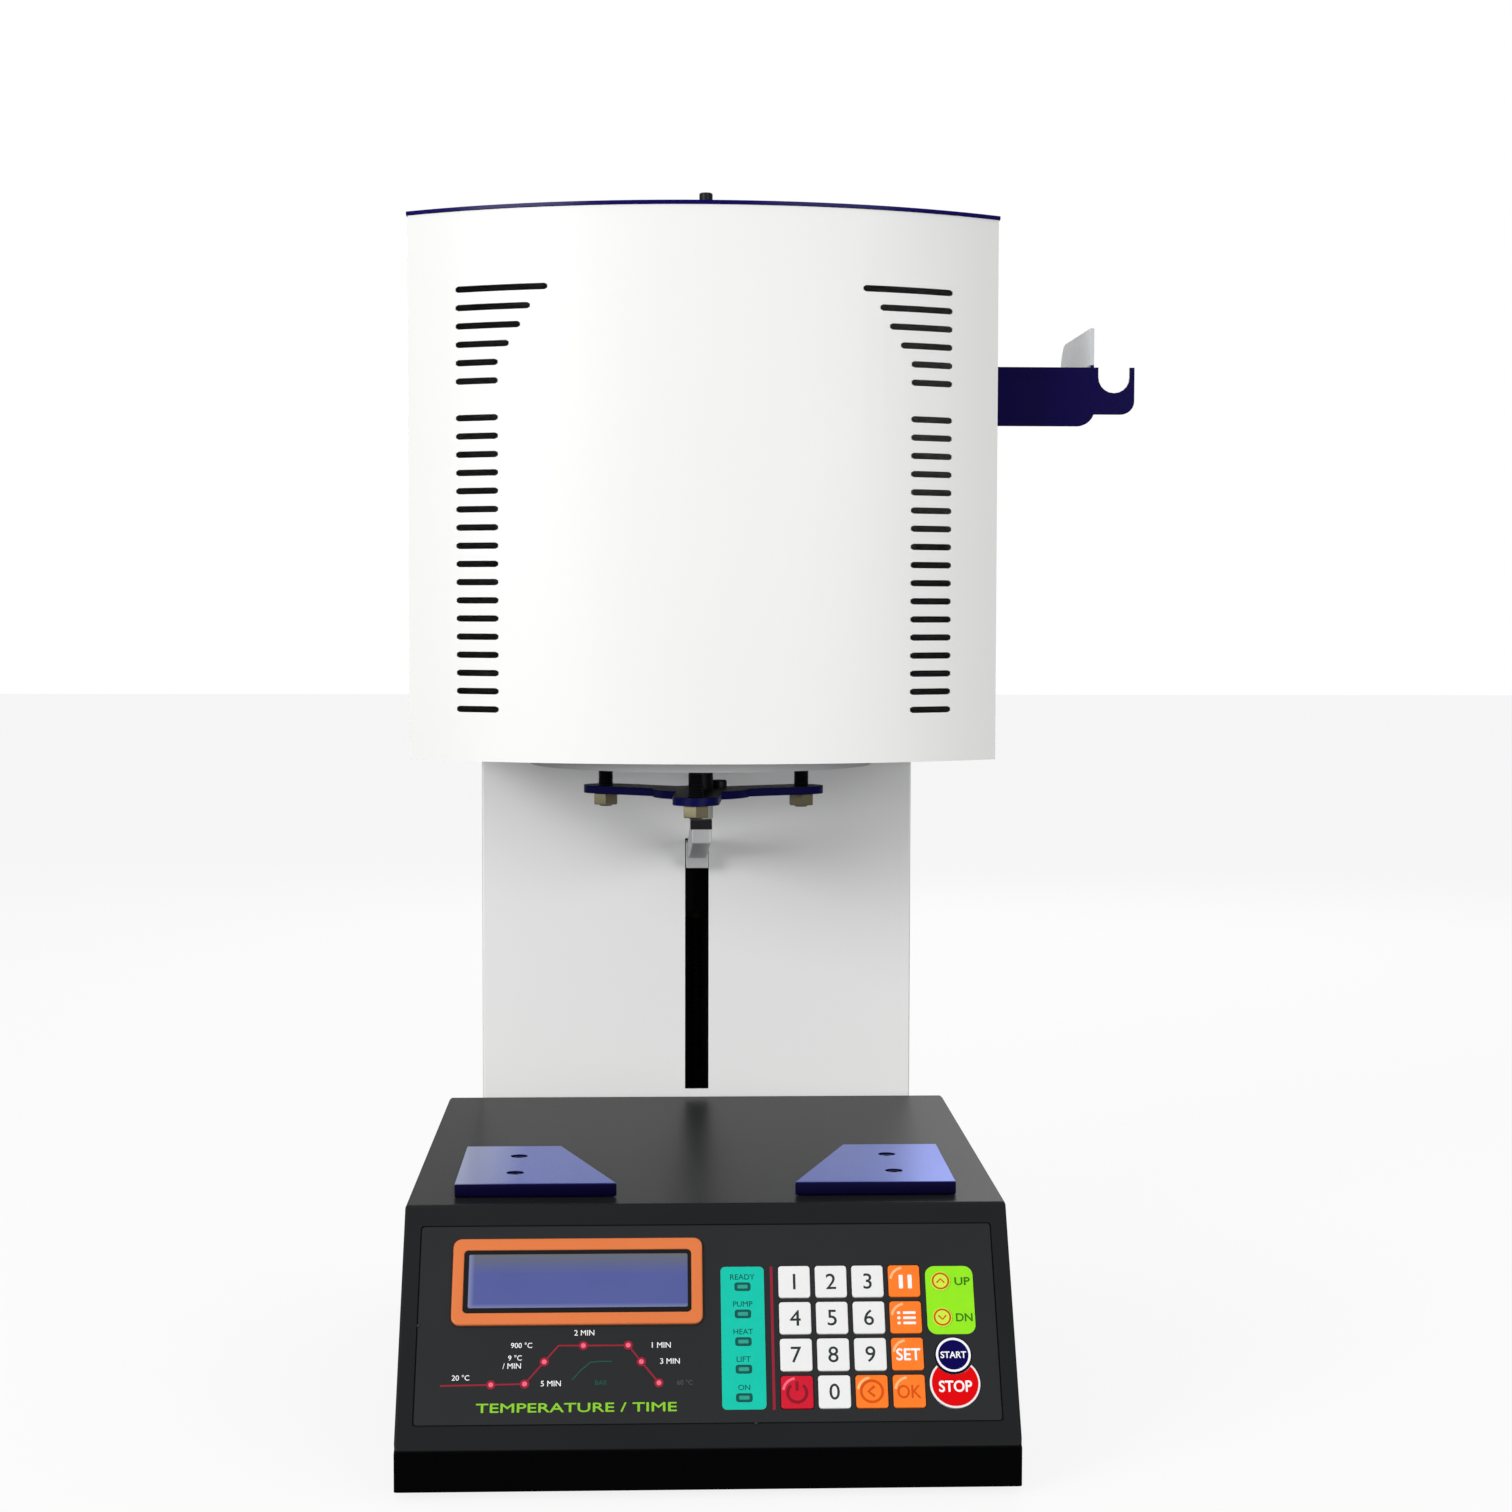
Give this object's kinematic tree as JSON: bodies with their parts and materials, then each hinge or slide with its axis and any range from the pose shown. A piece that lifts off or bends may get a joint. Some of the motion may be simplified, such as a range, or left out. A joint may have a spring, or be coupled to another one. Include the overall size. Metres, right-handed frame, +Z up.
{
  "type": "dental lab furnace",
  "caption": "Benchtop dental porcelain furnace: firing chamber in a curved housing on a column, lift from below, sloping console with display and keypad, tong holder.",
  "frame": {"origin": "centre of the bounding box in plan, on the surface that the feet stand on", "axes": "+Z up, -Y towards the user at the console, +X to the user's right"},
  "size_m": [0.388, 0.5024, 0.6338],
  "materials": {
    "white_coat": "satin",
    "console_black": "satin",
    "navy_coat": "gloss",
    "sheet_steel": "satin",
    "bright_steel": "satin",
    "dark_steel": "satin",
    "aluminium": "satin",
    "brass": "satin",
    "fibre": "matte",
    "ceramic": "matte",
    "foot_rubber": "matte",
    "panel_black": "satin",
    "bezel_orange": "satin",
    "display_blue": "gloss",
    "board_green": "satin",
    "black_plastic": "satin",
    "key_white": "satin",
    "key_orange": "satin",
    "key_red": "satin",
    "key_lime": "satin",
    "key_navy": "satin"
  },
  "bodies": {
    "furnace": {"base_pan": "sheet_steel", "console_cover": "console_black", "control_panel": "panel_black", "display_bezel": "bezel_orange", "display_module": "display_blue", "keypad_board": "board_green", "cooling_plate_left": "navy_coat", "cooling_plate_right": "navy_coat", "foot_front_left": "foot_rubber", "foot_front_right": "foot_rubber", "foot_rear_left": "foot_rubber", "foot_rear_right": "foot_rubber", "column_cover": "white_coat", "rear_panel": "white_coat", "muffle_housing": "white_coat", "top_cover": "navy_coat", "top_cover_screw": "dark_steel", "muffle_floor": "aluminium", "vacuum_pot": "bright_steel", "insulation_liner": "fibre", "heating_muffle": "ceramic", "thermocouple": "ceramic", "tong_holder": "navy_coat", "guide_rod_left": "bright_steel", "guide_rod_right": "bright_steel", "lift_frame": "aluminium", "lift_motor": "dark_steel", "mains_inlet": "black_plastic", "vacuum_nozzle": "brass"},
    "lift": {"lift_arm": "aluminium", "lift_carriage": "aluminium", "lift_nut": "brass", "tripod_plate": "navy_coat", "platform_disc": "aluminium", "firing_table": "ceramic", "platform_stud_front": "dark_steel", "platform_stud_left": "dark_steel", "platform_stud_right": "dark_steel"},
    "lead_screw": {"lead_screw": "bright_steel"},
    "mains_switch": {"mains_switch": "black_plastic"},
    "key_0": {"key_0": "key_white"},
    "key_1": {"key_1": "key_white"},
    "key_2": {"key_2": "key_white"},
    "key_3": {"key_3": "key_white"},
    "key_4": {"key_4": "key_white"},
    "key_5": {"key_5": "key_white"},
    "key_6": {"key_6": "key_white"},
    "key_7": {"key_7": "key_white"},
    "key_8": {"key_8": "key_white"},
    "key_9": {"key_9": "key_white"},
    "key_idle": {"key_idle": "key_orange"},
    "key_program": {"key_program": "key_orange"},
    "key_set": {"key_set": "key_orange"},
    "key_back": {"key_back": "key_orange"},
    "key_ok": {"key_ok": "key_orange"},
    "key_power": {"key_power": "key_red"},
    "key_up": {"key_up": "key_lime"},
    "key_down": {"key_down": "key_lime"},
    "key_start": {"key_start": "key_navy"},
    "key_stop": {"key_stop": "key_red"}
  },
  "joints": [
    {"name": "lift_slide", "type": "slide", "parent": "furnace", "child": "lift", "axis": [0, 0, 1], "range_m": [-0.125, 0]},
    {"name": "lead_screw_turn", "type": "hinge", "parent": "furnace", "child": "lead_screw", "pos_m": [-0.03898, 0.15515, 0.2], "axis": [0, 0, 1], "range_deg": [0, 5626]},
    {"name": "mains_switch_rock", "type": "hinge", "parent": "furnace", "child": "mains_switch", "pos_m": [-0.01897, 0.23215, 0.07], "axis": [1, 0, 0], "range_deg": [0, 18]},
    {"name": "key_0_press", "type": "slide", "parent": "furnace", "child": "key_0", "axis": [0, 0.8364, -0.5481], "range_m": [0, 0.0005], "stiffness_N_per_m": 400},
    {"name": "key_1_press", "type": "slide", "parent": "furnace", "child": "key_1", "axis": [0, 0.8364, -0.5481], "range_m": [0, 0.0005], "stiffness_N_per_m": 400},
    {"name": "key_2_press", "type": "slide", "parent": "furnace", "child": "key_2", "axis": [0, 0.8364, -0.5481], "range_m": [0, 0.0005], "stiffness_N_per_m": 400},
    {"name": "key_3_press", "type": "slide", "parent": "furnace", "child": "key_3", "axis": [0, 0.8364, -0.5481], "range_m": [0, 0.0005], "stiffness_N_per_m": 400},
    {"name": "key_4_press", "type": "slide", "parent": "furnace", "child": "key_4", "axis": [0, 0.8364, -0.5481], "range_m": [0, 0.0005], "stiffness_N_per_m": 400},
    {"name": "key_5_press", "type": "slide", "parent": "furnace", "child": "key_5", "axis": [0, 0.8364, -0.5481], "range_m": [0, 0.0005], "stiffness_N_per_m": 400},
    {"name": "key_6_press", "type": "slide", "parent": "furnace", "child": "key_6", "axis": [0, 0.8364, -0.5481], "range_m": [0, 0.0005], "stiffness_N_per_m": 400},
    {"name": "key_7_press", "type": "slide", "parent": "furnace", "child": "key_7", "axis": [0, 0.8364, -0.5481], "range_m": [0, 0.0005], "stiffness_N_per_m": 400},
    {"name": "key_8_press", "type": "slide", "parent": "furnace", "child": "key_8", "axis": [0, 0.8364, -0.5481], "range_m": [0, 0.0005], "stiffness_N_per_m": 400},
    {"name": "key_9_press", "type": "slide", "parent": "furnace", "child": "key_9", "axis": [0, 0.8364, -0.5481], "range_m": [0, 0.0005], "stiffness_N_per_m": 400},
    {"name": "key_idle_press", "type": "slide", "parent": "furnace", "child": "key_idle", "axis": [0, 0.8364, -0.5481], "range_m": [0, 0.0005], "stiffness_N_per_m": 400},
    {"name": "key_program_press", "type": "slide", "parent": "furnace", "child": "key_program", "axis": [0, 0.8364, -0.5481], "range_m": [0, 0.0005], "stiffness_N_per_m": 400},
    {"name": "key_set_press", "type": "slide", "parent": "furnace", "child": "key_set", "axis": [0, 0.8364, -0.5481], "range_m": [0, 0.0005], "stiffness_N_per_m": 400},
    {"name": "key_back_press", "type": "slide", "parent": "furnace", "child": "key_back", "axis": [0, 0.8364, -0.5481], "range_m": [0, 0.0005], "stiffness_N_per_m": 400},
    {"name": "key_ok_press", "type": "slide", "parent": "furnace", "child": "key_ok", "axis": [0, 0.8364, -0.5481], "range_m": [0, 0.0005], "stiffness_N_per_m": 400},
    {"name": "key_power_press", "type": "slide", "parent": "furnace", "child": "key_power", "axis": [0, 0.8364, -0.5481], "range_m": [0, 0.0005], "stiffness_N_per_m": 400},
    {"name": "key_up_press", "type": "slide", "parent": "furnace", "child": "key_up", "axis": [0, 0.8364, -0.5481], "range_m": [0, 0.0005], "stiffness_N_per_m": 400},
    {"name": "key_down_press", "type": "slide", "parent": "furnace", "child": "key_down", "axis": [0, 0.8364, -0.5481], "range_m": [0, 0.0005], "stiffness_N_per_m": 400},
    {"name": "key_start_press", "type": "slide", "parent": "furnace", "child": "key_start", "axis": [0, 0.8364, -0.5481], "range_m": [0, 0.0005], "stiffness_N_per_m": 400},
    {"name": "key_stop_press", "type": "slide", "parent": "furnace", "child": "key_stop", "axis": [0, 0.8364, -0.5481], "range_m": [0, 0.0005], "stiffness_N_per_m": 400}
  ],
  "couplings": [
    {"joint": "lead_screw_turn", "follows": "lift_slide", "rad_per_m": -785.4}
  ]
}
